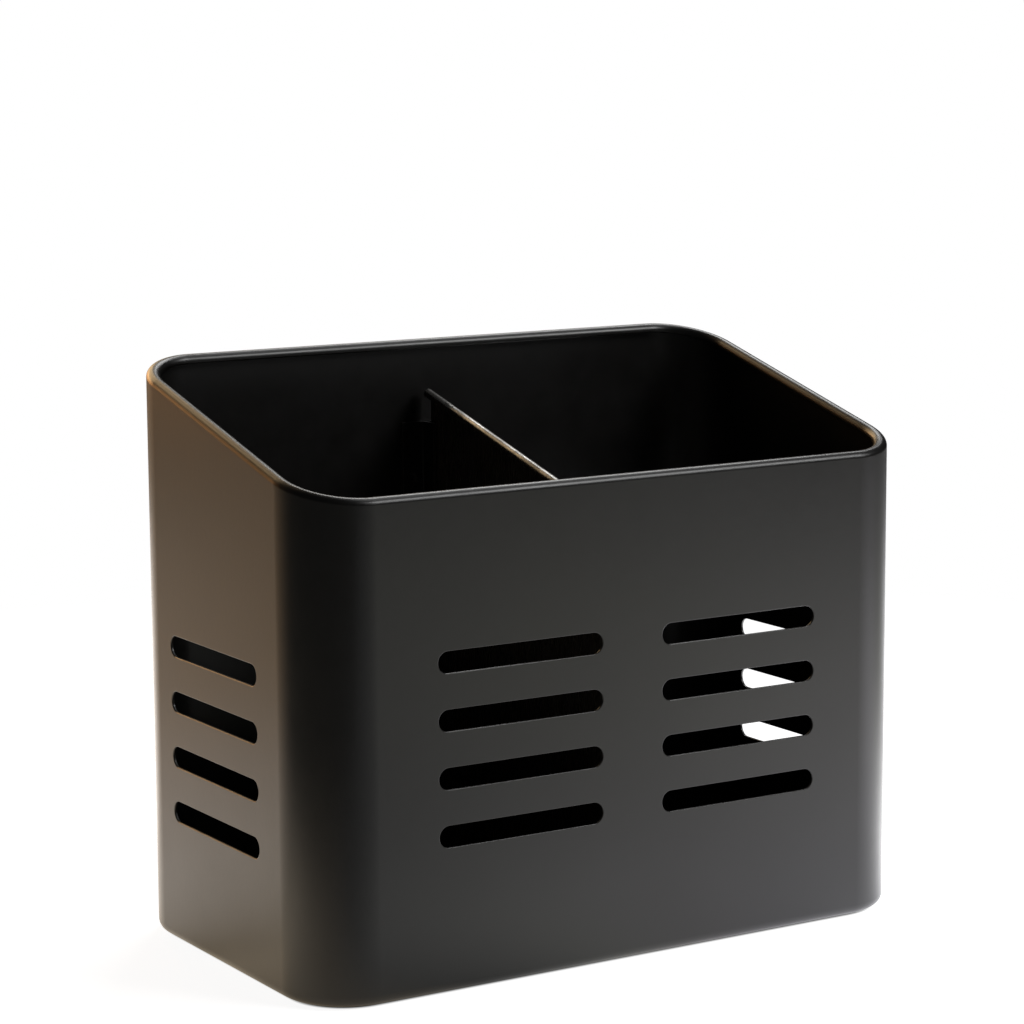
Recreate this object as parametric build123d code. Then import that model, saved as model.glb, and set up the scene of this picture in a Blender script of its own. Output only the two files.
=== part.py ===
from build123d import *
import math
import os

# Free-standing cutlery drainer of bent and painted sheet steel, with two compartments.
# All sizes are in millimetres. +Z is up, the low front wall faces -Y, and +X is to its right.
# The origin is on the surface that the drainer stands on, below the middle of its plan.

# Body: one wall of sheet wrapped round all four sides
body_width = 200.0          # outside, left to right
body_depth = 112.0          # outside, front to back
corner_radius = 20.0        # outside of the upright corners
front_height = 137.5        # underside of the body to the top of the rim, at the front
back_height = 167.0         # the same, at the back
sheet = 0.9                 # thickness of the wall

# Rim: the wall's top edge is rolled inwards and down
rim_roll_radius = 2.0       # outside of the roll
rim_roll_depth = 2.8        # how far the roll's free edge lies below the top
roll_flat = 0.1             # narrow flat along the top of any roll

# Foot of the wall: bent inwards to a lip that carries the floor
bottom_bend_radius = 3.2    # outside of the bend
lip_width = 14.0            # from the outside of the wall to the free edge of the lip

# Slots: capsule openings in rows
slot_rows = 4
slot_length = 52.6
slot_height = 6.0
slot_pitch = 16.0           # from one row to the next
front_slot_level = 43.7     # underside of the body to the middle of the lowest front row
side_slot_level = 39.0      # the same, on both side walls
front_slot_offset = 36.3    # from the middle of the whole front pattern to each group's middle
front_slot_shift = 1.0      # the front pattern lies this far right of the middle
side_slot_shift = 2.0       # the side slots lie this far behind the middle of the depth

# Floor: a flat plate with drain holes, lying on the lip
floor_sheet = 0.8
floor_clearance = 0.3       # from the plate's edge to where the wall's bottom bend begins
drain_hole_diameter = 6.0
drain_hole_pitch = 14.0
drain_hole_margin = 4.0     # least solid floor between a hole and the lip, or a hole and the divider

# Divider: one upright sheet with its own rolled top edge, lifted out upwards
divider_sheet = 0.8
divider_drop = 14.5         # top of the divider below the rim, measured upright
divider_roll_radius = 1.6
divider_roll_depth = 2.2
divider_floor_gap = 0.3     # running gap above the floor

# Guides: a pair of angles on the front wall and a pair on the back wall hold the divider's ends
guide_sheet = 0.8
guide_bend_radius = 0.4     # inside of the bend
guide_depth = 7.0           # how far the standing leg comes out from the wall
guide_flange = 8.0          # width of the leg that is welded to the wall
guide_side_clearance = 0.35 # on each side of the divider
guide_drop = 8.0            # top of a guide below the divider's end
lift_clearance = 0.4        # least gap that the divider's ends keep as it is lifted past the rim

# Feet: four thin pads stuck under the corners of the lip
foot_diameter = 6.5
foot_height = 0.6
foot_inset = 10.4           # from the outside of the corner to the pad's middle

# Sizes that follow from those above
body_bottom = foot_height
rim_rise = (back_height - front_height) / body_depth
rim_thickness = 2 * rim_roll_radius
floor_bottom = body_bottom + sheet
floor_top = floor_bottom + floor_sheet
half_width = body_width / 2
half_depth = body_depth / 2
inner_half_depth = half_depth - sheet
divider_end_gap = rim_thickness - sheet + lift_clearance
divider_half_length = inner_half_depth - divider_end_gap
guide_slot_width = divider_sheet + 2 * guide_side_clearance
reach = 4 * (body_width + body_depth + back_height)   # longer than any cut has to be


def rim_level(y):
    """Height of the rim's top, as a sloping plane, at a distance y behind the middle."""
    return body_bottom + front_height + rim_rise * (y + half_depth)


def below_rim(drop):
    """Everything lower than the rim's plane, less an upright drop."""
    low, high = rim_level(-reach) - drop, rim_level(reach) - drop
    outline = Polyline((-reach, -reach), (reach, -reach), (reach, high), (-reach, low), close=True)
    return extrude(Plane.YZ * make_face(outline), reach, both=True)


def plan(inset):
    """Plan of the body, drawn in from its outside."""
    return RectangleRounded(
        body_width - 2 * inset, body_depth - 2 * inset, max(corner_radius - inset, 0.5)
    )


def block(inset, bottom):
    """Upright block on that plan, from a level up to well above the rim."""
    return Pos(0, 0, bottom) * extrude(plan(inset), reach)


def top_edges(solid):
    """Edges round the face that lies highest and looks upwards."""
    upward = [face for face in solid.faces() if face.normal_at().Z > 0.5]
    return max(upward, key=lambda face: face.center().Z).edges()


def capsule(length, height):
    """Bar with round ends, to cut a slot that lies along X in a wall that faces Y."""
    return extrude(Plane.XZ * SlotOverall(length, height), body_depth / 4, both=True)


def wall_shell():
    """Wall with its bottom bend and lip, its rolled rim and its slots."""
    outside = block(0, body_bottom)
    outside = fillet(outside.faces().sort_by(Axis.Z)[0].edges(), bottom_bend_radius)
    inside = block(sheet, body_bottom + sheet)
    inside = fillet(inside.faces().sort_by(Axis.Z)[0].edges(), bottom_bend_radius - sheet)
    shell = (outside & below_rim(0)) - block(rim_thickness, body_bottom + bottom_bend_radius)
    shell = fillet(top_edges(shell), rim_roll_radius - roll_flat / 2)
    hollow = block(sheet, body_bottom + bottom_bend_radius) - block(rim_thickness - sheet, body_bottom)
    hollow = hollow & below_rim(sheet)
    hollow = fillet(top_edges(hollow), rim_roll_radius - sheet - roll_flat / 2)
    shell = shell - (inside & below_rim(rim_roll_depth)) - hollow - block(lip_width, 0)

    for row in range(slot_rows):
        front_level = body_bottom + front_slot_level + row * slot_pitch
        side_level = body_bottom + side_slot_level + row * slot_pitch
        for side in (-1, 1):
            cutter = capsule(slot_length, slot_height)
            group_middle = front_slot_shift + side * front_slot_offset
            shell -= Pos(group_middle, -half_depth, front_level) * cutter
            shell -= Pos(side * half_width, side_slot_shift, side_level) * Rot(0, 0, 90) * cutter
    return shell


def drain_floor():
    """Floor plate with a grid of drain holes under each compartment."""
    plate = extrude(plan(bottom_bend_radius + floor_clearance), floor_sheet)
    plate = Pos(0, 0, floor_bottom) * plate
    hole_radius = drain_hole_diameter / 2
    inner_limit = divider_sheet / 2 + drain_hole_margin + hole_radius
    outer_limit = half_width - lip_width - drain_hole_margin - hole_radius
    depth_limit = half_depth - lip_width - drain_hole_margin - hole_radius
    columns = int((outer_limit - inner_limit) / drain_hole_pitch) + 1
    rows = int(2 * depth_limit / drain_hole_pitch) + 1
    middle = (inner_limit + outer_limit) / 2
    drill = Cylinder(hole_radius, 4 * floor_sheet)
    for side in (-1, 1):
        for column in range(columns):
            x = side * (middle + (column - (columns - 1) / 2) * drain_hole_pitch)
            for row in range(rows):
                y = (row - (rows - 1) / 2) * drain_hole_pitch
                plate -= Pos(x, y, floor_bottom) * drill
    return plate


def divider():
    """Upright sheet whose sloping top edge is rolled over to the left."""
    bottom = floor_top + divider_floor_gap
    sheet_left = -divider_sheet / 2
    sheet_right = divider_sheet / 2
    roll_left = sheet_right - 2 * divider_roll_radius

    def slab(left, right, half_length):
        size = (right - left, 2 * half_length, reach)
        return Pos(left, 0, bottom) * Box(*size, align=(Align.MIN, Align.CENTER, Align.MIN))

    def rounded(solid, radius):
        """The solid with the two long edges of its top rounded."""
        long_edges = [edge for edge in top_edges(solid) if edge.length > divider_half_length]
        return fillet(long_edges, radius)

    rolled = slab(roll_left, sheet_right, divider_half_length) & below_rim(divider_drop)
    rolled = rounded(rolled, divider_roll_radius - roll_flat / 2)
    hollow = slab(roll_left + divider_sheet, sheet_left, reach) & below_rim(divider_drop + divider_sheet)
    hollow = rounded(hollow, divider_roll_radius - divider_sheet - roll_flat / 2)
    under_the_roll = slab(roll_left, sheet_left, reach) & below_rim(divider_drop + divider_roll_depth)
    return rolled - hollow - under_the_roll


def guide(side, end):
    """Angle beside one end of the divider: side is -1 left or 1 right, end is -1 front or 1 back."""
    divider_end_top = rim_level(end * divider_half_length) - divider_drop - divider_roll_depth
    bottom = body_bottom + bottom_bend_radius
    slot_face = guide_slot_width / 2
    corner = Polyline(
        (slot_face, guide_depth), (slot_face, 0), (slot_face + guide_flange, 0),
        (slot_face + guide_flange, guide_sheet), (slot_face + guide_sheet, guide_sheet),
        (slot_face + guide_sheet, guide_depth), close=True
    )
    angle = extrude(make_face(corner), divider_end_top - guide_drop - bottom)
    upright = angle.edges().filter_by(Axis.Z)
    outer_corner = upright.sort_by_distance((slot_face, 0, 0))[0]
    inner_corner = upright.sort_by_distance((slot_face + guide_sheet, guide_sheet, 0))[0]
    angle = fillet(outer_corner, guide_bend_radius + guide_sheet)
    inner_corner = angle.edges().filter_by(Axis.Z).sort_by_distance(inner_corner.center())[0]
    angle = fillet(inner_corner, guide_bend_radius)
    if side == end:
        angle = mirror(angle, Plane.YZ)
    if end > 0:
        angle = Rot(0, 0, 180) * angle
    return Pos(0, end * inner_half_depth, bottom) * angle


def foot(side, end):
    """Pad under one corner of the lip: side is -1 left or 1 right, end is -1 front or 1 back."""
    inset = corner_radius - (corner_radius - foot_inset) * math.sqrt(0.5)
    pad = Cylinder(foot_diameter / 2, foot_height, align=(Align.CENTER, Align.CENTER, Align.MIN))
    return Pos(side * (half_width - inset), end * (half_depth - inset), 0) * pad


pieces = {"wall_shell": wall_shell(), "drain_floor": drain_floor(), "divider": divider()}
for end_name, end in (("front", -1), ("rear", 1)):
    for side_name, side in (("left", -1), ("right", 1)):
        pieces[f"{end_name}_{side_name}_guide"] = guide(side, end)
        pieces[f"{end_name}_{side_name}_foot"] = foot(side, end)

os.makedirs("parts", exist_ok=True)
for name, solid in pieces.items():
    export_step(solid, f"parts/{name}.step")
    box = solid.bounding_box()
    print(name, round(solid.volume), "mm3, from", box.min, "to", box.max)
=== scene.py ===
import math

import bpy
from mathutils import Matrix, Vector


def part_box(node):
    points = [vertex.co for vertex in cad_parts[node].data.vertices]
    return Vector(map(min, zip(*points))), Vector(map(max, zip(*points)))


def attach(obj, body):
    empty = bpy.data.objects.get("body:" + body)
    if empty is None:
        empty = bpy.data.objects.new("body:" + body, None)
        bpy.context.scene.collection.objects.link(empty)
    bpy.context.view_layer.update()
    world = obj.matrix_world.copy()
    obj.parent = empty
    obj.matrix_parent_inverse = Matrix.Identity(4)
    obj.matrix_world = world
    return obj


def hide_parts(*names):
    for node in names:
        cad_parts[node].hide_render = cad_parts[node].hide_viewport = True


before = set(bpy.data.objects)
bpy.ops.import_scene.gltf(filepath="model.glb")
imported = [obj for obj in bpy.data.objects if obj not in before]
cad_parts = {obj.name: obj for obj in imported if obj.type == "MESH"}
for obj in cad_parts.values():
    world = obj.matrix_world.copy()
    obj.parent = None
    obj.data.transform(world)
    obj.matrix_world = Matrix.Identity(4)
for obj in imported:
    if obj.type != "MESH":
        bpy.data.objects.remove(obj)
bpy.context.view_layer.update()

# A free-standing cutlery drainer: one bent steel wall with a rolled rim, a pierced floor,
# a lift-out divider held by four guides, and four rubber feet.
# Lengths are in metres, +Z is up, and the low front wall faces -Y.

mm = 0.001

wall_low, wall_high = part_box("wall_shell")
half_width = wall_high.x
half_depth = wall_high.y
body_bottom = wall_low.z

# Wall
front_height = 137.5 * mm
back_height = 167.0 * mm
rim_rise = (back_height - front_height) / (2 * half_depth)
corner_radius = 20.0 * mm
corner_steps = 24
sheet = 0.9 * mm
rim_roll_radius = 2.0 * mm
rim_roll_depth = 2.8 * mm
bottom_bend_radius = 3.2 * mm
lip_width = 14.0 * mm
punched_edge = 0.35 * mm
rim_front = wall_high.z - rim_rise * (2 * half_depth - rim_roll_radius)

# Slots
slot_rows = 4
slot_length = 52.6 * mm
slot_height = 6.0 * mm
slot_pitch = 16.0 * mm
slot_end_steps = 10
front_slot_level = body_bottom + 43.7 * mm
side_slot_level = body_bottom + 39.0 * mm
front_slot_offset = 36.3 * mm
front_slot_shift = 1.0 * mm
side_slot_shift = 2.0 * mm
past_the_sheet = 20 * mm        # how far a punch goes on, both ends together

# Divider
divider_low, divider_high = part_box("divider")
divider_roll_radius = 1.6 * mm
divider_roll_depth = 2.2 * mm
divider_sheet = 0.8 * mm
divider_foot = 30 * mm          # its lowest part, which stays level
divider_crest = divider_high.z - rim_rise * divider_high.y
bare_and_highlit_crest = 0.8 * mm           # the coat is bare steel down to here below the crest, partly wear and partly a painted highlight

# Floor
floor_low, floor_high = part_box("drain_floor")
drain_hole = 6.0 * mm
drain_hole_end_steps = 7
drain_pitch = 14.0 * mm
drain_group_offset = 43.2 * mm
drain_holes_each_way = 6
plate_corner_steps = 16

# Guides
guide_sheet = 0.8 * mm
guide_bend_radius = 0.4 * mm
spot_mark_count = 4
spot_mark_across = 3.6 * mm
spot_mark_depth = 0.15 * mm
spot_mark_inset = 5.0 * mm      # from the bent edge to the middle of a mark

# Feet
pad_edge_radius = 0.4 * mm
pad_ring_depth = 0.25 * mm
pad_ring_shares = (0.72, 0.66, 0.30, 0.24)      # of the radius, where the ring's flanks lie
pad_steps = 40

# Small bevels of the other sharp edges
sheared_edge = 0.15 * mm
divider_edge = 0.2 * mm
moulded_edge = 0.08 * mm
bevel_angle = math.radians(50)

# Colours
coat_black = (0.0046, 0.0042, 0.0037)
# the divider's coat, lighter and warmer than the body's: partly a thinner coat over brushed steel,
# partly painted reflection
divider_coat_with_painted_reflection = (0.034, 0.029, 0.023)
# lighter coat along edges: partly coat thinned by use, partly a painted highlight
worn_coat_and_edge_highlight = (0.12, 0.115, 0.11)
# bare steel of the divider's crest, which also stands in for a painted highlight there
bare_steel_and_highlight = (0.58, 0.57, 0.54)
dry_dust = (0.16, 0.15, 0.135)
dark_rubber = (0.012, 0.012, 0.012)
light_rubber = (0.024, 0.023, 0.022)
# lighter rubber along edges: partly wear, partly a painted highlight
worn_rubber_and_edge_highlight = (0.07, 0.07, 0.068)


# Mesh making

def new_tree(name, inputs):
    """A geometry tree with one geometry in, one out and the named inputs."""
    tree = bpy.data.node_groups.new(name, "GeometryNodeTree")
    face = tree.interface
    face.new_socket("Geometry", in_out="INPUT", socket_type="NodeSocketGeometry")
    for label, kind in inputs.items():
        face.new_socket(label, in_out="INPUT", socket_type="NodeSocket" + kind)
    face.new_socket("Geometry", in_out="OUTPUT", socket_type="NodeSocketGeometry")
    return tree, tree.nodes.new("NodeGroupInput").outputs


def set_inputs(tree, made, values):
    """Links or sets a node's inputs. Each value is an output to link from, or the input's own."""
    for label, value in values.items():
        if isinstance(value, bpy.types.NodeSocket):
            tree.links.new(value, made.inputs[label])
        else:
            made.inputs[label].default_value = value
    return made


def add(tree, kind, values=None, **settings):
    """Adds a node with its settings and its inputs."""
    made = tree.nodes.new(kind)
    for setting, value in settings.items():
        setattr(made, setting, value)
    return set_inputs(tree, made, values or {})


def maths(tree, operation, *values):
    """Output of a Math node."""
    return add(tree, "ShaderNodeMath", dict(enumerate(values)), operation=operation).outputs[0]


def end_tree(tree, geometry, material):
    """Closes a geometry tree: one real mesh, shaded smooth, with its material."""
    whole = add(tree, "GeometryNodeRealizeInstances", {"Geometry": geometry}).outputs[0]
    smooth = add(tree, "GeometryNodeSetShadeSmooth", {"Geometry": whole}).outputs[0]
    painted = add(tree, "GeometryNodeSetMaterial", {"Geometry": smooth, "Material": material})
    add(tree, "NodeGroupOutput", {"Geometry": painted.outputs[0]})
    return tree


def both_ways(tree, length, axis):
    """A straight path along an axis, with its middle at the origin."""
    half = maths(tree, "MULTIPLY", length, 0.5)
    start, end = [
        add(tree, "ShaderNodeCombineXYZ", {axis: maths(tree, "MULTIPLY", half, side)}).outputs[0]
        for side in (-1, 1)
    ]
    return add(tree, "GeometryNodeCurvePrimitiveLine", {"Start": start, "End": end}).outputs[0]


def wrapped_sheet_tree():
    """A section swept round a rounded oblong, its upper part lifted to the back."""
    tree, given = new_tree("wrapped sheet", {
        "Path Width": "Float", "Path Depth": "Float", "Path Radius": "Float",
        "Corner Steps": "Int", "Rise": "Float", "Slope Starts At": "Float",
        "Sloped Above": "Float", "Paint": "Material",
    })
    section = add(tree, "GeometryNodeMeshToCurve", {"Mesh": given["Geometry"]})
    oblong = add(tree, "GeometryNodeCurvePrimitiveQuadrilateral", {
        "Width": given["Path Width"], "Height": given["Path Depth"],
    })
    path = add(tree, "GeometryNodeFilletCurve", {
        "Curve": oblong.outputs["Curve"], "Radius": given["Path Radius"],
        "Count": given["Corner Steps"],
    }, mode="POLY")
    return sloped(tree, given, section, path.outputs["Curve"], False)


def straight_sheet_tree():
    """A section swept straight from front to back, its upper part lifted."""
    tree, given = new_tree("straight sheet", {
        "Length": "Float", "Rise": "Float", "Slope Starts At": "Float",
        "Sloped Above": "Float", "Paint": "Material",
    })
    section = add(tree, "GeometryNodeMeshToCurve", {"Mesh": given["Geometry"]})
    path = both_ways(tree, given["Length"], "Y")
    return sloped(tree, given, section, path, True)


def sloped(tree, given, section, path, capped):
    """Sweeps the section along the path and lifts what lies above a level by the rise."""
    upright = add(tree, "GeometryNodeSetCurveNormal", {"Curve": path}, mode="Z_UP")
    place = add(tree, "GeometryNodeInputPosition").outputs[0]
    capture = add(tree, "GeometryNodeCaptureAttribute",
                  {"Geometry": upright.outputs["Curve"]}, domain="POINT")
    capture.capture_items.new("VECTOR", "Path Place")
    tree.links.new(place, capture.inputs["Path Place"])
    swept = add(tree, "GeometryNodeCurveToMesh", {
        "Curve": capture.outputs["Geometry"], "Profile Curve": section.outputs["Curve"],
        "Fill Caps": capped,
    })
    path_place = add(tree, "ShaderNodeSeparateXYZ", {0: capture.outputs["Path Place"]})
    own_place = add(tree, "ShaderNodeSeparateXYZ", {0: place})
    behind = maths(tree, "SUBTRACT", path_place.outputs["Y"], given["Slope Starts At"])
    lift = add(tree, "ShaderNodeCombineXYZ", {"Z": maths(tree, "MULTIPLY", behind, given["Rise"])})
    upper = maths(tree, "GREATER_THAN", own_place.outputs["Z"], given["Sloped Above"])
    lifted = add(tree, "GeometryNodeSetPosition", {
        "Geometry": swept.outputs["Mesh"], "Selection": upper, "Offset": lift.outputs[0],
    })
    return end_tree(tree, lifted.outputs[0], given["Paint"])


def cut_by(tree, given, cutters):
    """Closes a tree that cuts the cutters out of the given mesh."""
    cut = add(tree, "GeometryNodeMeshBoolean", {"Mesh 1": given["Geometry"], "Mesh 2": cutters},
              operation="DIFFERENCE", solver="EXACT")
    return end_tree(tree, cut.outputs["Mesh"], given["Paint"])


def punched_tree():
    """Rows of capsule openings punched through a sheet. Each lies along the pattern's X."""
    tree, given = new_tree("punched openings", {
        "Columns": "Int", "Rows": "Int", "Column Pitch": "Float", "Row Pitch": "Float",
        "Opening Length": "Float", "Opening Height": "Float", "Punch Travel": "Float",
        "End Steps": "Int", "Centre": "Vector", "Turn": "Vector", "Paint": "Material",
    })
    nearly_half = 0.4999            # a radius of just under half keeps the ends' points apart
    one_point = 0.02 * mm
    outline = add(tree, "GeometryNodeCurvePrimitiveQuadrilateral", {
        "Width": given["Opening Length"], "Height": given["Opening Height"],
    })
    rounded = add(tree, "GeometryNodeFilletCurve", {
        "Curve": outline.outputs["Curve"], "Count": given["End Steps"],
        "Radius": maths(tree, "MULTIPLY", given["Opening Height"], nearly_half),
    }, mode="POLY")
    punch = add(tree, "GeometryNodeCurveToMesh", {
        "Curve": both_ways(tree, given["Punch Travel"], "Z"),
        "Profile Curve": rounded.outputs["Curve"], "Fill Caps": True,
    })
    punch = add(tree, "GeometryNodeMergeByDistance",
                {"Geometry": punch.outputs["Mesh"], "Distance": one_point})
    spans = [
        maths(tree, "MULTIPLY", maths(tree, "SUBTRACT", given[count], 1), given[pitch])
        for count, pitch in (("Columns", "Column Pitch"), ("Rows", "Row Pitch"))
    ]
    grid = add(tree, "GeometryNodeMeshGrid", {
        "Size X": spans[0], "Size Y": spans[1],
        "Vertices X": given["Columns"], "Vertices Y": given["Rows"],
    })
    punches = add(tree, "GeometryNodeInstanceOnPoints", {
        "Points": grid.outputs["Mesh"], "Instance": punch.outputs["Geometry"],
    })
    placed = add(tree, "GeometryNodeTransform", {
        "Geometry": punches.outputs["Instances"],
        "Translation": given["Centre"], "Rotation": given["Turn"],
    })
    placed = add(tree, "GeometryNodeRealizeInstances", {"Geometry": placed.outputs[0]})
    return cut_by(tree, given, placed.outputs[0])


def column_tree():
    """Upright piece of one plan all the way up."""
    tree, given = new_tree("upright column", {
        "Bottom": "Float", "Top": "Float", "Paint": "Material",
    })
    plan = add(tree, "GeometryNodeMeshToCurve", {"Mesh": given["Geometry"]})
    ends = [add(tree, "ShaderNodeCombineXYZ", {"Z": given[level]}).outputs[0]
            for level in ("Bottom", "Top")]
    path = add(tree, "GeometryNodeCurvePrimitiveLine", {"Start": ends[0], "End": ends[1]})
    swept = add(tree, "GeometryNodeCurveToMesh", {
        "Curve": path.outputs["Curve"], "Profile Curve": plan.outputs["Curve"],
        "Fill Caps": True,
    })
    return end_tree(tree, swept.outputs["Mesh"], given["Paint"])


def spot_marks_tree():
    """A row of shallow round marks, pressed into a flange where it is spot welded."""
    tree, given = new_tree("spot weld marks", {
        "Marks": "Int", "First": "Vector", "Step": "Vector", "Mark Size": "Vector",
        "Paint": "Material",
    })
    row = add(tree, "GeometryNodeMeshLine", {
        "Count": given["Marks"], "Start Location": given["First"], "Offset": given["Step"],
    })
    ball = add(tree, "GeometryNodeMeshUVSphere", {"Segments": 20, "Rings": 12, "Radius": 0.5})
    tips = add(tree, "GeometryNodeInstanceOnPoints", {
        "Points": row.outputs["Mesh"], "Instance": ball.outputs["Mesh"],
        "Scale": given["Mark Size"],
    })
    tips = add(tree, "GeometryNodeRealizeInstances", {"Geometry": tips.outputs["Instances"]})
    return cut_by(tree, given, tips.outputs[0])


def arc(centre, radius, start, end, steps):
    """Points of an arc, by angles in degrees."""
    angles = [math.radians(start + (end - start) * i / steps) for i in range(steps + 1)]
    return [(centre[0] + radius * math.cos(a), centre[1] + radius * math.sin(a)) for a in angles]


def linked_object(name, mesh):
    """An object in the scene, at the origin."""
    made = bpy.data.objects.new(name, mesh)
    bpy.context.scene.collection.objects.link(made)
    return made


def outline_piece(name, points):
    """A piece that starts as one closed outline."""
    mesh = bpy.data.meshes.new(name)
    count = len(points)
    edges = [(i, (i + 1) % count) for i in range(count)]
    mesh.from_pydata([(x, y, 0) for x, y in points], edges, [])
    return linked_object(name, mesh)


def run_tree(piece, tree, values):
    """Puts a geometry tree on a piece, with its inputs set by name."""
    step = piece.modifiers.new(tree.name, "NODES")
    step.node_group = tree
    for socket in tree.interface.items_tree:
        if socket.in_out == "INPUT" and socket.name in values:
            step[socket.identifier] = values[socket.name]


def finish_mesh(piece, edge, edge_steps=3):
    """Rounds the sharp edges, evens the normals and makes all the steps one plain mesh."""
    rounding = piece.modifiers.new("rounded edges", "BEVEL")
    rounding.width = edge
    rounding.segments = edge_steps
    rounding.limit_method = "ANGLE"
    rounding.angle_limit = bevel_angle
    rounding.miter_outer = "MITER_ARC"
    even = piece.modifiers.new("even normals", "WEIGHTED_NORMAL")
    even.keep_sharp = False
    view = bpy.context.evaluated_depsgraph_get()
    mesh = bpy.data.meshes.new_from_object(piece.evaluated_get(view), depsgraph=view)
    piece.modifiers.clear()
    piece.data = mesh
    mesh.name = piece.name
    return piece


def declare(piece, body, node):
    """Hangs the piece on the body it rides on, and hides the node it stands for."""
    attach(piece, body)
    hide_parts(node)


# Materials

def new_group(name, inputs, outputs):
    """A shader group with named inputs and outputs."""
    group = bpy.data.node_groups.new(name, "ShaderNodeTree")
    face = group.interface
    for label, (kind, value) in inputs.items():
        socket = face.new_socket(label, in_out="INPUT", socket_type="NodeSocket" + kind)
        if value is not None:
            socket.default_value = value
    for label, kind in outputs.items():
        face.new_socket(label, in_out="OUTPUT", socket_type="NodeSocket" + kind)
    nodes = group.nodes
    return group, nodes.new("NodeGroupInput").outputs, nodes.new("NodeGroupOutput").inputs


def noise(tree, place, size, detail=2.0, rough=0.5):
    """Noise between 0 and 1 with features of about one size, in metres."""
    return add(tree, "ShaderNodeTexNoise", {
        "Vector": place, "Scale": maths(tree, "DIVIDE", 1.0, size),
        "Detail": detail, "Roughness": rough,
    }).outputs["Fac"]


def spread(tree, value, low, high, to_low=0.0, to_high=1.0):
    """Rescales a value, clamped."""
    return add(tree, "ShaderNodeMapRange", {
        "Value": value, "From Min": low, "From Max": high,
        "To Min": to_low, "To Max": to_high,
    }).outputs["Result"]


def paint_skin_group():
    """Powder coat's skin: soft waves and a fine grain, with a sheen that drifts."""
    group, given, result = new_group("paint skin", {
        "Place": ("Vector", None), "Wave Size": ("Float", 2 * mm),
        "Grain Size": ("Float", 0.4 * mm), "Grain Share": ("Float", 0.3),
        "Patch Size": ("Float", 40 * mm),
    }, {"Height": "Float", "Sheen Drift": "Float", "Shade Drift": "Float"})
    place = given["Place"]
    waves = noise(group, place, given["Wave Size"], 1.0)
    grain = noise(group, place, given["Grain Size"], 3.0, 0.6)
    patch = noise(group, place, given["Patch Size"], 3.0)
    fine_patch = noise(group, place, maths(group, "MULTIPLY", given["Patch Size"], 0.13), 2.0)
    grain_part = maths(group, "MULTIPLY", grain, given["Grain Share"])
    group.links.new(maths(group, "ADD", waves, grain_part), result["Height"])
    patch_part = maths(group, "MULTIPLY", patch, 0.7)
    drift = maths(group, "ADD", patch_part, maths(group, "MULTIPLY", fine_patch, 0.3))
    group.links.new(spread(group, drift, 0.3, 0.7), result["Sheen Drift"])
    group.links.new(spread(group, fine_patch, 0.25, 0.75), result["Shade Drift"])
    return group


def edge_wear_and_highlight_group():
    """Mask of the edges, for a coat thinned and polished by use and for a painted edge highlight.
    """
    group, given, result = new_group("edge wear and painted highlight", {
        "Place": ("Vector", None), "Reach": ("Float", 0.5 * mm), "Patchiness": ("Float", 0.5),
    }, {"Mask": "Float"})
    true_normal = add(group, "ShaderNodeNewGeometry").outputs["Normal"]
    rounded = add(group, "ShaderNodeBevel", {"Radius": given["Reach"]}, samples=6).outputs[0]
    likeness = add(group, "ShaderNodeVectorMath", {0: rounded, 1: true_normal},
                   operation="DOT_PRODUCT").outputs["Value"]
    edge = spread(group, likeness, 0.995, 0.90)
    breaks = spread(group, noise(group, given["Place"], 6 * mm, 4.0, 0.65), 0.35, 0.65)
    lost = maths(group, "MULTIPLY", given["Patchiness"], breaks)
    kept = maths(group, "SUBTRACT", 1.0, lost)
    group.links.new(maths(group, "MULTIPLY", edge, kept), result["Mask"])
    return group


def dust_group():
    """Mask of the dry water marks and dust that gather in corners and on upward faces."""
    group, given, result = new_group("settled dust", {
        "Place": ("Vector", None), "Reach": ("Float", 6 * mm),
    }, {"Mask": "Float"})
    hidden = add(group, "ShaderNodeAmbientOcclusion", {"Distance": given["Reach"]}, samples=6)
    corner = spread(group, hidden.outputs["AO"], 0.75, 0.25)
    normal = add(group, "ShaderNodeNewGeometry").outputs["Normal"]
    upward = add(group, "ShaderNodeSeparateXYZ", {0: normal}).outputs["Z"]
    lying = maths(group, "MULTIPLY", spread(group, upward, 0.5, 1.0), 0.5)
    cloud = spread(group, noise(group, given["Place"], 12 * mm, 5.0, 0.65), 0.4, 0.75)
    gathered = maths(group, "MAXIMUM", corner, lying)
    group.links.new(maths(group, "MULTIPLY", gathered, cloud), result["Mask"])
    return group


def new_material(name):
    """A material with its tree, its Principled shader and its object coordinates."""
    material = bpy.data.materials.new(name)
    material.use_nodes = True
    tree = material.node_tree
    place = add(tree, "ShaderNodeTexCoord").outputs["Object"]
    return material, tree, tree.nodes["Principled BSDF"], place


def mixed(tree, mask, first, second):
    """Colour between two colours, by a mask."""
    made = add(tree, "ShaderNodeMix", {0: mask}, data_type="RGBA")
    for number, value in ((6, first), (7, second)):
        if not isinstance(value, bpy.types.NodeSocket):
            value = (*value, 1.0)
        set_inputs(tree, made, {number: value})
    return made.outputs[2]


def use_group(tree, group, values):
    """Places a shader group in a tree and sets its inputs."""
    return add(tree, "ShaderNodeGroup", values, node_tree=group).outputs


def bump(tree, height, depth):
    """Normal of a bumpy skin, from a height and the depth of its relief."""
    return add(tree, "ShaderNodeBump", {
        "Strength": 1.0, "Distance": depth, "Height": height,
    }).outputs[0]


paint_skin = paint_skin_group()
edge_wear_and_highlight = edge_wear_and_highlight_group()
settled_dust = dust_group()


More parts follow.
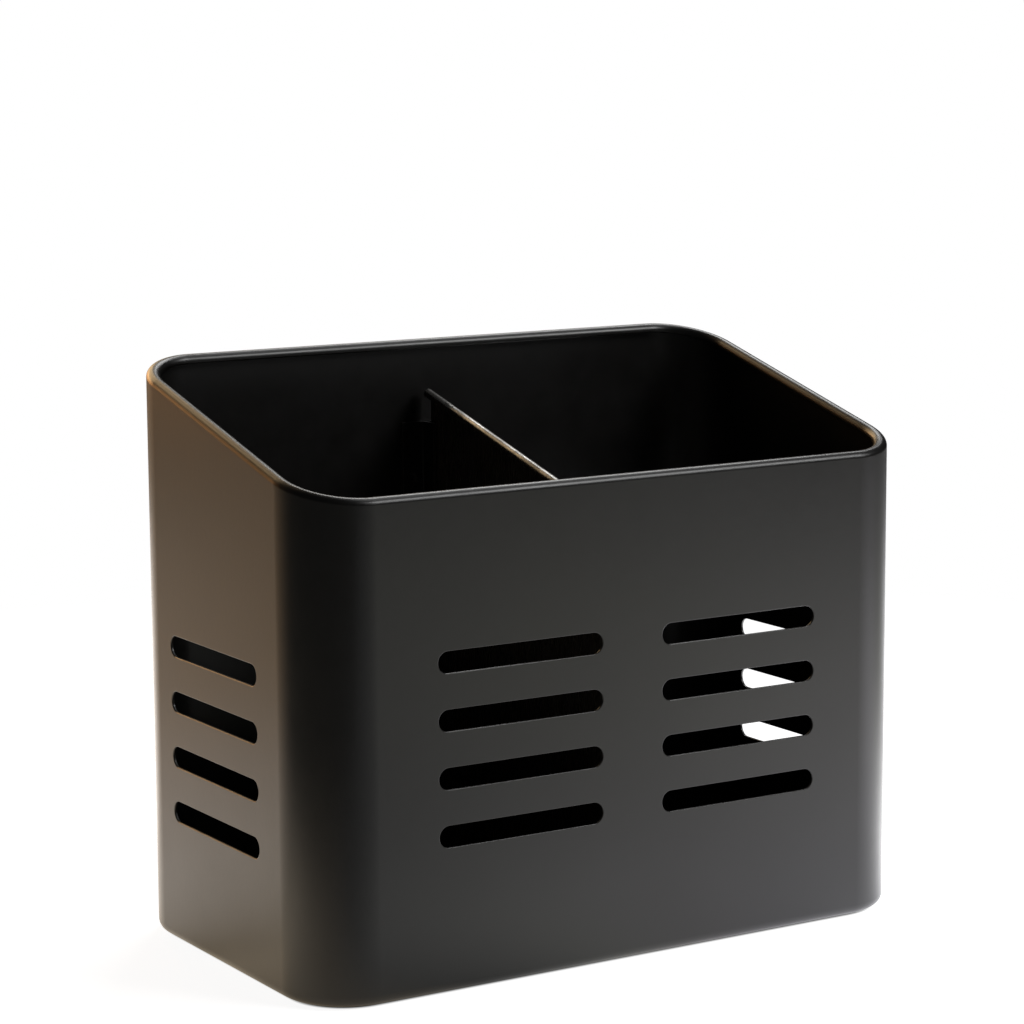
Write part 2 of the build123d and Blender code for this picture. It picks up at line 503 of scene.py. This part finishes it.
def powder_coat(name, colour=coat_black, sheen=(0.28, 0.35), dust_amount=0.06,
                brushed=False, bare_and_highlit_above=None):
    """Satin powder coat on steel, thin and lighter along edges, partly from wear and partly as a
    painted highlight.

    Brushing shows through it as upright streaks. Above the level that the last argument gives,
    taken at the middle of the slope, the coat gives way to bare steel, partly wear and partly a
    painted highlight.
    """
    material, tree, shader, place = new_material(name)
    skin = use_group(tree, paint_skin, {
        "Place": place, "Wave Size": 1.8 * mm, "Grain Size": 0.3 * mm,
    })
    edges = use_group(tree, edge_wear_and_highlight, {"Place": place, "Reach": 0.45 * mm})
    dust = use_group(tree, settled_dust, {"Place": place})
    darker = tuple(c * 0.75 for c in colour)
    lighter = tuple(c * 1.25 for c in colour)
    paint = mixed(tree, skin["Shade Drift"], darker, lighter)
    # Edges lightened: partly worn coat, partly a painted edge highlight
    paint = mixed(tree, maths(tree, "MULTIPLY", edges["Mask"], 0.6), paint, worn_coat_and_edge_highlight)
    dust_mask = maths(tree, "MULTIPLY", dust["Mask"], dust_amount)
    paint = mixed(tree, dust_mask, paint, dry_dust)
    # Crest band of bare steel: partly wear, partly a painted highlight
    if bare_and_highlit_above is not None:
        parts = add(tree, "ShaderNodeSeparateXYZ", {0: place}).outputs
        slope = maths(tree, "MULTIPLY", parts["Y"], rim_rise)
        level = maths(tree, "SUBTRACT", parts["Z"], slope)
        bare_and_highlit_band = spread(tree, level, bare_and_highlit_above, bare_and_highlit_above + 0.5 * mm)
        kept = spread(tree, noise(tree, place, 7 * mm, 4.0, 0.6), 0.35, 0.6, 1.0, 0.35)
        bare_and_highlit_band = maths(tree, "MULTIPLY", bare_and_highlit_band, kept)
        paint = mixed(tree, bare_and_highlit_band, paint, bare_steel_and_highlight)
        tree.links.new(bare_and_highlit_band, shader.inputs["Metallic"])
    rough = spread(tree, skin["Sheen Drift"], 0.0, 1.0, *sheen)
    rough = maths(tree, "ADD", rough, maths(tree, "MULTIPLY", dust_mask, 0.6))
    height = skin["Height"]
    if brushed:
        squeezed = add(tree, "ShaderNodeMapping", {"Vector": place, "Scale": (1, 1, 0.02)})
        lines = noise(tree, squeezed.outputs[0], 0.5 * mm, 3.0, 0.7)
        streak = maths(tree, "SUBTRACT", lines, 0.5)
        rough = maths(tree, "ADD", rough, maths(tree, "MULTIPLY", streak, 0.5))
        height = maths(tree, "ADD", height, maths(tree, "MULTIPLY", streak, 2.0))
        shader.inputs["Anisotropic"].default_value = 0.3
    set_inputs(tree, shader, {
        "Base Color": paint, "Roughness": rough, "Normal": bump(tree, height, 0.012 * mm),
        "Specular IOR Level": 0.8,
    })
    return material


def rubber(name):
    """Matt black rubber with a fine moulded grain and greyed edges, partly wear and partly a
    painted highlight.
    """
    material, tree, shader, place = new_material(name)
    skin = use_group(tree, paint_skin, {
        "Place": place, "Wave Size": 0.8 * mm, "Grain Size": 0.15 * mm, "Grain Share": 1.0,
        "Patch Size": 3 * mm,
    })
    edges = use_group(tree, edge_wear_and_highlight, {"Place": place, "Reach": 0.3 * mm})
    colour = mixed(tree, skin["Shade Drift"], dark_rubber, light_rubber)
    # Edges lightened: partly wear, partly a painted edge highlight
    colour = mixed(tree, maths(tree, "MULTIPLY", edges["Mask"], 0.5), colour, worn_rubber_and_edge_highlight)
    set_inputs(tree, shader, {
        "Base Color": colour,
        "Roughness": spread(tree, skin["Sheen Drift"], 0.0, 1.0, 0.7, 0.88),
        "Normal": bump(tree, skin["Height"], 0.05 * mm),
    })
    return material


body_paint = powder_coat("body_paint")
floor_paint = powder_coat("floor_paint", dust_amount=0.2)
# The divider's lighter colour is partly painted reflection.
divider_paint = powder_coat("divider_paint", divider_coat_with_painted_reflection, sheen=(0.24, 0.32), brushed=True,
                            bare_and_highlit_above=divider_crest - bare_and_highlit_crest)
guide_paint = powder_coat("guide_paint", dust_amount=0.15)
foot_rubber = rubber("foot_rubber")

wrapped_sheet = wrapped_sheet_tree()
straight_sheet = straight_sheet_tree()
punched = punched_tree()
column = column_tree()
spot_marks = spot_marks_tree()


# Wall

def wall_section():
    """Outline of the wall's section, by the distance in from the roll's line and the height.

    It runs from the bottom bend's outside up over the roll and back down to the lip.
    """
    roll_middle = (0.0, rim_front - rim_roll_radius)
    bend_middle = (bottom_bend_radius - rim_roll_radius, body_bottom + bottom_bend_radius)
    cut = sheet / 2
    free_edge = (rim_roll_radius - cut, rim_front - rim_roll_depth + cut)
    lip_edge = (lip_width - rim_roll_radius - cut, body_bottom + cut)
    points = arc(bend_middle, bottom_bend_radius, 270, 180, 10)
    points += arc(roll_middle, rim_roll_radius, 180, 0, 20)
    points += arc(free_edge, cut, 0, -180, 6)
    points += arc(roll_middle, rim_roll_radius - sheet, 0, 180, 14)
    points += arc(bend_middle, bottom_bend_radius - sheet, 180, 270, 8)
    points += arc(lip_edge, cut, 90, -90, 6)
    return points


wall = outline_piece("wall", [(-inset, -height) for inset, height in reversed(wall_section())])
run_tree(wall, wrapped_sheet, {
    "Path Width": 2 * (half_width - rim_roll_radius),
    "Path Depth": 2 * (half_depth - rim_roll_radius),
    "Path Radius": corner_radius - rim_roll_radius, "Corner Steps": corner_steps,
    "Rise": rim_rise, "Slope Starts At": -half_depth,
    "Sloped Above": body_bottom + front_height / 2, "Paint": body_paint,
})
slot_block_height = (slot_rows - 1) * slot_pitch
quarter_turn = math.radians(90)
run_tree(wall, punched, {
    "Columns": 2, "Rows": slot_rows,
    "Column Pitch": 2 * front_slot_offset, "Row Pitch": slot_pitch,
    "Opening Length": slot_length, "Opening Height": slot_height, "End Steps": slot_end_steps,
    "Punch Travel": past_the_sheet,
    "Centre": (front_slot_shift, -half_depth, front_slot_level + slot_block_height / 2),
    "Turn": (quarter_turn, 0, 0), "Paint": body_paint,
})
run_tree(wall, punched, {
    "Columns": 1, "Rows": slot_rows, "Column Pitch": 0.0, "Row Pitch": slot_pitch,
    "Opening Length": slot_length, "Opening Height": slot_height, "End Steps": slot_end_steps,
    "Punch Travel": 2 * half_width + past_the_sheet,
    "Centre": (0, side_slot_shift, side_slot_level + slot_block_height / 2),
    "Turn": (quarter_turn, 0, quarter_turn), "Paint": body_paint,
})
finish_mesh(wall, punched_edge)
declare(wall, "holder", "wall_shell")


# Divider

def divider_section():
    """Outline of the divider's section across the drainer. Its roll turns to the left."""
    front_top = divider_high.z - rim_rise * (divider_high.y - divider_low.y)
    roll_middle = (divider_high.x - divider_roll_radius, front_top - divider_roll_radius)
    cut = divider_sheet / 2
    free_edge = (divider_low.x + cut, front_top - divider_roll_depth + cut)
    points = [(divider_high.x, divider_low.z)]
    points += arc(roll_middle, divider_roll_radius, 0, 180, 18)
    points += arc(free_edge, cut, 180, 360, 6)
    points += arc(roll_middle, divider_roll_radius - divider_sheet, 180, 0, 12)
    return points + [(divider_high.x - divider_sheet, divider_low.z)]


divider = outline_piece("divider_plate", [(x, -z) for x, z in reversed(divider_section())])
run_tree(divider, straight_sheet, {
    "Length": divider_high.y - divider_low.y, "Rise": rim_rise,
    "Slope Starts At": divider_low.y, "Sloped Above": divider_low.z + divider_foot,
    "Paint": divider_paint,
})
finish_mesh(divider, divider_edge)
declare(divider, "divider", "divider")


# Floor: a plate with two groups of drain holes

def plate_plan():
    """Outline of the floor plate: an oblong with round corners."""
    radius = corner_radius - (half_width - floor_high.x)
    across, along = floor_high.x - radius, floor_high.y - radius
    points = []
    for number, (side, end) in enumerate(((1, 1), (-1, 1), (-1, -1), (1, -1))):
        start = 90 * number
        points += arc((side * across, end * along), radius, start, start + 90, plate_corner_steps)
    return points


floor_plate = outline_piece("floor_plate", plate_plan())
run_tree(floor_plate, column, {
    "Bottom": floor_low.z, "Top": floor_high.z, "Paint": floor_paint,
})
for side in (-1, 1):
    run_tree(floor_plate, punched, {
        "Columns": drain_holes_each_way, "Rows": drain_holes_each_way,
        "Column Pitch": drain_pitch, "Row Pitch": drain_pitch,
        "Opening Length": drain_hole, "Opening Height": drain_hole,
        "End Steps": drain_hole_end_steps, "Punch Travel": 6 * mm,
        "Centre": (side * drain_group_offset, 0, floor_low.z), "Turn": (0, 0, 0),
        "Paint": floor_paint,
    })
finish_mesh(floor_plate, sheared_edge, 2)
declare(floor_plate, "holder", "drain_floor")


# Guides: bent angles, spot welded to the wall

def angle_plan(width, depth):
    """Outline of an angle's plan, from its bent corner: a flange along X, a leg along Y."""
    outer = guide_bend_radius + guide_sheet
    points = [(guide_sheet, depth), (0, depth)]
    points += arc((outer, outer), outer, 180, 270, 6)
    points += [(width, 0), (width, guide_sheet)]
    points += arc((outer, outer), guide_bend_radius, 270, 180, 5)
    return points


for end_name, end in (("front", -1), ("rear", 1)):
    for side_name, side in (("left", -1), ("right", 1)):
        node = f"{end_name}_{side_name}_guide"
        low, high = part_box(node)
        bent_x, bent_y = (low.x, high.x)[side < 0], (low.y, high.y)[end > 0]
        plan = [(bent_x + side * x, bent_y - end * y)
                for x, y in angle_plan(high.x - low.x, high.y - low.y)]
        guide = outline_piece(f"{end_name}_{side_name}_angle", plan[::-side * end])
        run_tree(guide, column, {"Bottom": low.z, "Top": high.z, "Paint": guide_paint})
        mark_step = (high.z - low.z) / spot_mark_count
        flange_face = bent_y - end * guide_sheet
        run_tree(guide, spot_marks, {
            "Marks": spot_mark_count, "Step": (0, 0, mark_step), "Paint": guide_paint,
            "First": (bent_x + side * spot_mark_inset, flange_face, low.z + mark_step / 2),
            "Mark Size": (spot_mark_across, 2 * spot_mark_depth, spot_mark_across),
        })
        finish_mesh(guide, sheared_edge, 2)
        declare(guide, "holder", node)


# Feet: thin pads turned from a section

def turned_pad(name, low, high, material):
    """A round pad with a rounded lower edge and a shallow ring in its tread."""
    radius = (high.x - low.x) / 2
    height = high.z - low.z
    centre = (low + high) / 2
    profile = [(radius, height)]
    profile += arc((radius - pad_edge_radius, pad_edge_radius), pad_edge_radius, 0, -90, 5)
    profile += [(radius * share, depth) for share, depth in
                zip(pad_ring_shares, (0, pad_ring_depth, pad_ring_depth, 0))]
    points = []
    for step in range(pad_steps):
        angle = 2 * math.pi * step / pad_steps
        points += [(centre.x + r * math.cos(angle), centre.y + r * math.sin(angle), low.z + z)
                   for r, z in profile]
    rings = len(profile)
    faces = []
    for step in range(pad_steps):
        here, there = step * rings, ((step + 1) % pad_steps) * rings
        faces += [(here + i, here + i + 1, there + i + 1, there + i) for i in range(rings - 1)]
    faces.append([step * rings for step in range(pad_steps)])
    faces.append([step * rings + rings - 1 for step in reversed(range(pad_steps))])
    mesh = bpy.data.meshes.new(name)
    mesh.from_pydata(points, [], faces)
    mesh.polygons.foreach_set("use_smooth", [True] * len(mesh.polygons))
    mesh.materials.append(material)
    return finish_mesh(linked_object(name, mesh), moulded_edge, 2)


for end_name in ("front", "rear"):
    for side_name in ("left", "right"):
        node = f"{end_name}_{side_name}_foot"
        pad = turned_pad(f"{end_name}_{side_name}_pad", *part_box(node), foot_rubber)
        declare(pad, "holder", node)


# Surroundings: a pale floor, soft lights and the camera

sky_level = 0.02                # of the studio's walls, as the object sees them
floor_albedo = (0.82, 0.82, 0.82, 1)
floor_reach = 6.0
plain_glow = 0.92               # what the camera's view of the floor gets on top of the lamps
fade_to_white = (0.25, 0.55)    # distances from the middle between which the floor turns white
painted_shadow_under_body = (-4.2 * mm, -2.6 * mm)     # painted shadow: the floor is dark this far in below the body

# Pools of light on the floor, which only the paint mirrors. Each has its azimuths from -Y
# towards +X, in degrees, its distances from the middle and its colour. It is brightest at the
# middle azimuth and between the middle distances.
close_by = (-1.0, 0.0, 0.20, 0.35)
under_foot = (-1.0, 0.0, 0.13, 0.22)
near_by = (-1.0, 0.0, 0.15, 0.42)
mid_way = (0.15, 0.42, 0.42, 0.9)
far_off = (0.42, 0.9, 1.6, 2.2)
near_and_mid = (-1.0, 0.0, 0.42, 0.9)
floor_pools = [
    ((-140, -90, -40), close_by, (0.90, 0.75, 0.55)),
    ((-60, 0, 45), under_foot, (0.66, 0.66, 0.63)),
    ((-235, -155, -100), near_by, (2.45, 2.2, 1.95)),
    ((-235, -155, -100), mid_way, (0.65, 0.36, 0.10)),
    ((-235, -155, -100), far_off, (0.36, 0.26, 0.15)),
    ((0, 30, 60), near_by, (0.60, 0.58, 0.62)),
    ((0, 30, 60), mid_way, (0.44, 0.44, 0.30)),
    ((30, 60, 85), near_by, (1.35, 1.35, 1.42)),
    ((30, 60, 85), mid_way, (1.80, 1.75, 1.84)),
    ((60, 85, 115), near_by, (2.6, 2.6, 2.7)),
    ((60, 85, 115), near_and_mid, (0.42, 0.42, 0.35)),
    ((85, 115, 150), near_and_mid, (1.8, 1.8, 1.85)),
    ((140, 180, 215), near_and_mid, (3.0, 3.0, 3.0)),
]

# Dark card at the front left, seen only in the paint's reflections, a painted dark reflection: its
# corners in plan, and its faint warm glow, which is painted light
card_plan = [(-0.32, 0.13), (-0.13, -0.34), (-0.05, -1.6), (-1.5, 0.75)]
card_level = 1 * mm
painted_reflection_tint = (1.0, 0.97, 0.9, 1)
painted_reflection_glow = 0.08

# Lamps: azimuth, elevation, width and height, brightness where white is 1, colour, and
# whether the lamp also lights the floor. The others are only mirrored by the paint.
lamp_distance = 1.2
lamp_aim = Vector((0, 0, 0.08))
lamps = {
    "front_light": (39, 36, (0.5, 0.5), 5.0, (1, 1, 1), True),
    "back_light": (134, 46, (0.5, 0.35), 5.0, (1, 1, 1), True),
    "top_fill": (86, 66, (0.7, 0.5), 0.9, (1, 1, 1), False),
    "back_fill": (155, 38, (0.6, 0.6), 0.6, (1.0, 0.95, 0.85), False),
    "warm_fill": (186, 32, (0.8, 0.8), 3.0, (1.0, 0.7, 0.38), False),
    "warm_light": (196, 13, (0.85, 0.5), 3.3, (1.0, 0.48, 0.18), False),
}

# Camera, at the photograph's viewing angle
camera_angles = (31.768, 8.863, -0.337)         # degrees: turned right, down and about its view
camera_place = (-478.942 * mm, -767.66 * mm, body_bottom + 261.204 * mm)
camera_lens = 110.75
camera_sensor = 36.0


def studio_world():
    """White to the camera, and nearly dark to the object."""
    world = bpy.data.worlds.new("studio")
    bpy.context.scene.world = world
    world.use_nodes = True
    tree = world.node_tree
    rays = add(tree, "ShaderNodeLightPath").outputs
    seen = maths(tree, "MAXIMUM", rays["Is Camera Ray"], rays["Is Transmission Ray"])
    set_inputs(tree, tree.nodes["Background"], {
        "Color": (1, 1, 1, 1), "Strength": spread(tree, seen, 0, 1, sky_level, 1.0),
    })


def band(tree, value, rise_from, rise_to, fall_from, fall_to):
    """Mask that rises from 0 to 1 and falls to 0 again."""
    rising = spread(tree, value, rise_from, rise_to)
    return maths(tree, "MINIMUM", rising, spread(tree, value, fall_to, fall_from))


def plan_distance(tree, parts):
    """How far a point of the floor lies outside the body's plan, negative under the body."""
    beyond = [
        maths(tree, "SUBTRACT", maths(tree, "ABSOLUTE", parts[axis]), half - corner_radius)
        for axis, half in (("X", half_width), ("Y", half_depth))
    ]
    off_corner = add(tree, "ShaderNodeCombineXYZ", {
        "X": maths(tree, "MAXIMUM", beyond[0], 0.0), "Y": maths(tree, "MAXIMUM", beyond[1], 0.0),
    }).outputs[0]
    outside = add(tree, "ShaderNodeVectorMath", {0: off_corner}, operation="LENGTH")
    inside = maths(tree, "MINIMUM", maths(tree, "MAXIMUM", *beyond), 0.0)
    distance = maths(tree, "ADD", outside.outputs["Value"], inside)
    return maths(tree, "SUBTRACT", distance, corner_radius)


def pooled_light(tree, far, parts):
    """Colour of all the pools of light together."""
    ahead = maths(tree, "MULTIPLY", parts["Y"], -1.0)
    azimuth = maths(tree, "DEGREES", maths(tree, "ARCTAN2", parts["X"], ahead))
    pools = add(tree, "ShaderNodeCombineXYZ").outputs[0]
    for (low, middle, high), distances, colour in floor_pools:
        off_middle = maths(tree, "SUBTRACT", azimuth, middle)
        turned = maths(tree, "WRAP", off_middle, 180.0, -180.0)
        beside = band(tree, turned, low - middle, 0.0, 0.0, high - middle)
        mask = maths(tree, "MULTIPLY", beside, band(tree, far, *distances))
        pools = add(tree, "ShaderNodeVectorMath", {0: mask, 1: colour, 2: pools},
                    operation="MULTIPLY_ADD").outputs[0]
    return pools


def pale_floor():
    """Floor that is plain and white to the camera, and has pools of light in reflections."""
    material, tree, shader, place = new_material("pale_floor")
    set_inputs(tree, shader, {
        "Base Color": floor_albedo, "Roughness": 0.7, "Specular IOR Level": 0.1,
    })
    lit = shader.outputs[0]
    far = add(tree, "ShaderNodeVectorMath", {0: place}, operation="LENGTH").outputs["Value"]
    parts = add(tree, "ShaderNodeSeparateXYZ", {0: place}).outputs
    # Painted contact shadow: the floor's glow and its pools fade out under the body's plan
    outside_painted_shadow = spread(tree, plan_distance(tree, parts), *painted_shadow_under_body)
    pools = add(tree, "ShaderNodeEmission", {
        "Color": pooled_light(tree, far, parts), "Strength": outside_painted_shadow,
    }).outputs[0]
    mirrored = add(tree, "ShaderNodeAddShader", {0: lit, 1: pools}).outputs[0]
    glow = maths(tree, "MULTIPLY", outside_painted_shadow, plain_glow)
    plain = add(tree, "ShaderNodeEmission", {"Strength": glow}).outputs[0]
    brighter = add(tree, "ShaderNodeAddShader", {0: lit, 1: plain}).outputs[0]
    white = add(tree, "ShaderNodeEmission", {"Strength": 1.0}).outputs[0]
    shown = add(tree, "ShaderNodeMixShader", {
        0: spread(tree, far, *fade_to_white), 1: brighter, 2: white,
    }).outputs[0]
    camera_ray = add(tree, "ShaderNodeLightPath").outputs["Is Camera Ray"]
    surface = add(tree, "ShaderNodeMixShader", {0: camera_ray, 1: mirrored, 2: shown})
    tree.links.new(surface.outputs[0], tree.nodes["Material Output"].inputs["Surface"])
    return material


def painted_reflection_shader():
    """Black with a faint glow: a painted dark reflection with a little painted light."""
    material, tree, shader, _ = new_material("painted_dark_reflection")
    set_inputs(tree, shader, {
        "Base Color": (0, 0, 0, 1), "Specular IOR Level": 0.0,
        "Emission Color": painted_reflection_tint, "Emission Strength": painted_reflection_glow,
    })
    return material


def flat_stage(name, points, material):
    """One flat face that isn't part of the object."""
    mesh = bpy.data.meshes.new(name)
    mesh.from_pydata(points, [], [tuple(range(len(points)))])
    mesh.materials.append(material)
    made = linked_object(name, mesh)
    return made


def soft_light(name, azimuth, elevation, size, brightness, colour, lights_the_floor):
    """A soft lamp that can't be seen itself."""
    data = bpy.data.lights.new(name, "AREA")
    data.shape = "RECTANGLE"
    data.size, data.size_y = size
    data.energy = brightness * math.pi * size[0] * size[1]
    data.color = colour
    azimuth, elevation = math.radians(azimuth), math.radians(elevation)
    level = math.cos(elevation)
    direction = Vector((math.sin(azimuth) * level, -math.cos(azimuth) * level,
                        math.sin(elevation)))
    lamp = linked_object(name, data)
    lamp.location = lamp_aim + lamp_distance * direction
    lamp.rotation_euler = direction.to_track_quat("Z", "Y").to_euler()
    lamp.visible_camera = False
    lamp.visible_diffuse = lights_the_floor


def place_camera():
    """The camera, turned by its three angles."""
    yaw, pitch, roll = (math.radians(angle) for angle in camera_angles)
    forward = Vector((math.sin(yaw) * math.cos(pitch), math.cos(yaw) * math.cos(pitch),
                      -math.sin(pitch)))
    level_right = Vector((math.cos(yaw), -math.sin(yaw), 0))
    level_up = level_right.cross(forward)
    right = math.cos(roll) * level_right + math.sin(roll) * level_up
    up = math.cos(roll) * level_up - math.sin(roll) * level_right
    data = bpy.data.cameras.new("camera")
    data.sensor_width = camera_sensor
    data.lens = camera_lens
    camera = linked_object("camera", data)
    turned = Matrix((right, up, -forward)).transposed().to_4x4()
    turned.translation = camera_place
    camera.matrix_world = turned
    bpy.context.scene.camera = camera


studio_world()
flat_stage("stage_floor", [(-floor_reach, -floor_reach, 0), (floor_reach, -floor_reach, 0),
                           (floor_reach, floor_reach, 0), (-floor_reach, floor_reach, 0)],
           pale_floor())
# The card only shows in reflections: a painted dark reflection.
card = flat_stage("painted_dark_reflection", [(x, y, card_level) for x, y in card_plan], painted_reflection_shader())
for kind in ("camera", "diffuse", "shadow", "transmission"):
    setattr(card, "visible_" + kind, False)
for name, values in lamps.items():
    soft_light(name, *values)
place_camera()
bpy.context.scene.view_settings.view_transform = "Standard"
